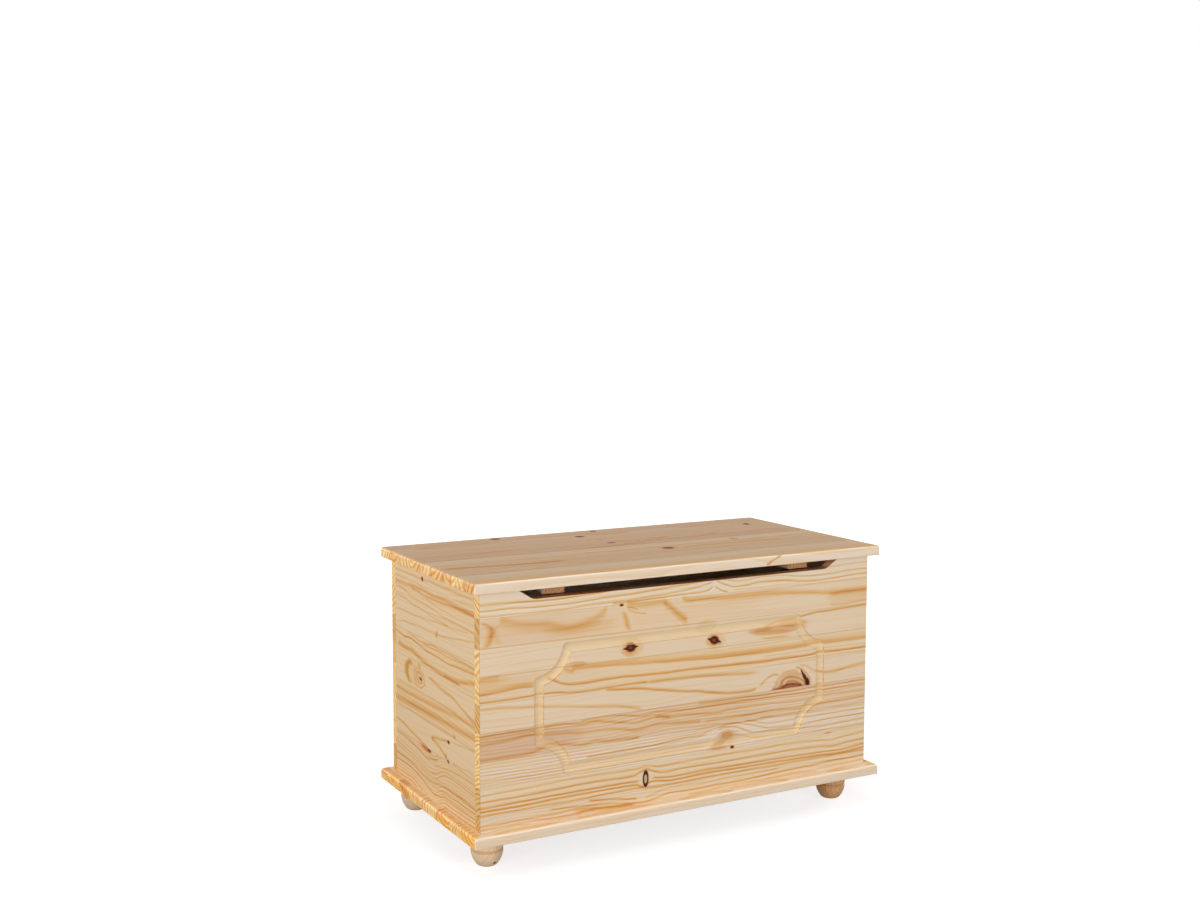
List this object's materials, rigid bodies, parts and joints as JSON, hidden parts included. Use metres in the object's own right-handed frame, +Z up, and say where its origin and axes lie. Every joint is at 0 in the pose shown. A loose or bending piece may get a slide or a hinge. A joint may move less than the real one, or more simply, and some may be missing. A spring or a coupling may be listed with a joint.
{
  "type": "toy chest",
  "caption": "Lidded wooden toy chest on turned feet, with a routed moulding frame and a finger gap in the front, hidden butt hinges and slotted lid stays.",
  "frame": {"origin": "on the floor under the middle of the overall box, feet on z = 0", "axes": "+X along the front to the right as seen from the front, +Y from the front to the back, +Z up"},
  "size_m": [0.816, 0.42, 0.483],
  "materials": {
    "pine_front": "satin lacquer",
    "pine_back": "satin lacquer",
    "pine_side": "satin lacquer",
    "pine_base": "satin lacquer",
    "pine_lid": "satin lacquer",
    "pine_batten": "satin lacquer",
    "pine_turned": "satin lacquer",
    "beech": "bare",
    "zinc_steel": "bright zinc",
    "zinc_cast": "cast",
    "brass": "satin",
    "black_plastic": "matte"
  },
  "bodies": {
    "chest": {"front_panel": "pine_front", "back_panel": "pine_back", "left_side_panel": "pine_side", "right_side_panel": "pine_side", "base_board": "pine_base", "foot_front_left": "pine_turned", "foot_front_right": "pine_turned", "foot_rear_left": "pine_turned", "foot_rear_right": "pine_turned", "corner_dowels": "beech", "cam_bolts": "zinc_steel", "cam_discs": "zinc_cast", "base_screws": "zinc_steel", "foot_bolts": "zinc_steel", "foot_insert_nuts": "zinc_steel", "hinge_case_screws": "brass", "stay_plate_screws": "zinc_steel", "hinge_left_case_leaf": "brass", "hinge_left_pin": "brass", "stay_left_side_plate": "zinc_steel", "stay_left_stud": "zinc_steel", "stay_left_washer": "zinc_steel", "stay_left_knob": "black_plastic", "hinge_right_case_leaf": "brass", "hinge_right_pin": "brass", "stay_right_side_plate": "zinc_steel", "stay_right_stud": "zinc_steel", "stay_right_washer": "zinc_steel", "stay_right_knob": "black_plastic"},
    "lid": {"lid_board": "pine_lid", "lid_batten_left": "pine_batten", "lid_batten_right": "pine_batten", "batten_screws": "zinc_steel", "hinge_left_lid_leaf": "brass", "hinge_right_lid_leaf": "brass", "hinge_lid_screws": "brass", "stay_left_lid_bracket": "zinc_steel", "stay_right_lid_bracket": "zinc_steel", "stay_bracket_screws": "zinc_steel", "stay_left_rivet": "zinc_steel", "stay_right_rivet": "zinc_steel"},
    "stay_arm_left": {"stay_left_arm": "zinc_steel"},
    "stay_arm_right": {"stay_right_arm": "zinc_steel"}
  },
  "joints": [
    {"name": "lid_hinge", "type": "hinge", "parent": "chest", "child": "lid", "pos_m": [0, 0.194, 0.465], "axis": [-1, 0, 0], "range_deg": [0, 95]},
    {"name": "stay_left_pivot", "type": "hinge", "parent": "lid", "child": "stay_arm_left", "pos_m": [-0.365, 0.0144, 0.453], "axis": [-1, 0, 0], "range_deg": [-47.5, 0]},
    {"name": "stay_right_pivot", "type": "hinge", "parent": "lid", "child": "stay_arm_right", "pos_m": [0.365, 0.0144, 0.453], "axis": [-1, 0, 0], "range_deg": [-47.5, 0]}
  ],
  "couplings": [
    {"joint": "stay_left_pivot", "follows": "lid_hinge", "ratio": -0.5},
    {"joint": "stay_right_pivot", "follows": "lid_hinge", "ratio": -0.5}
  ]
}
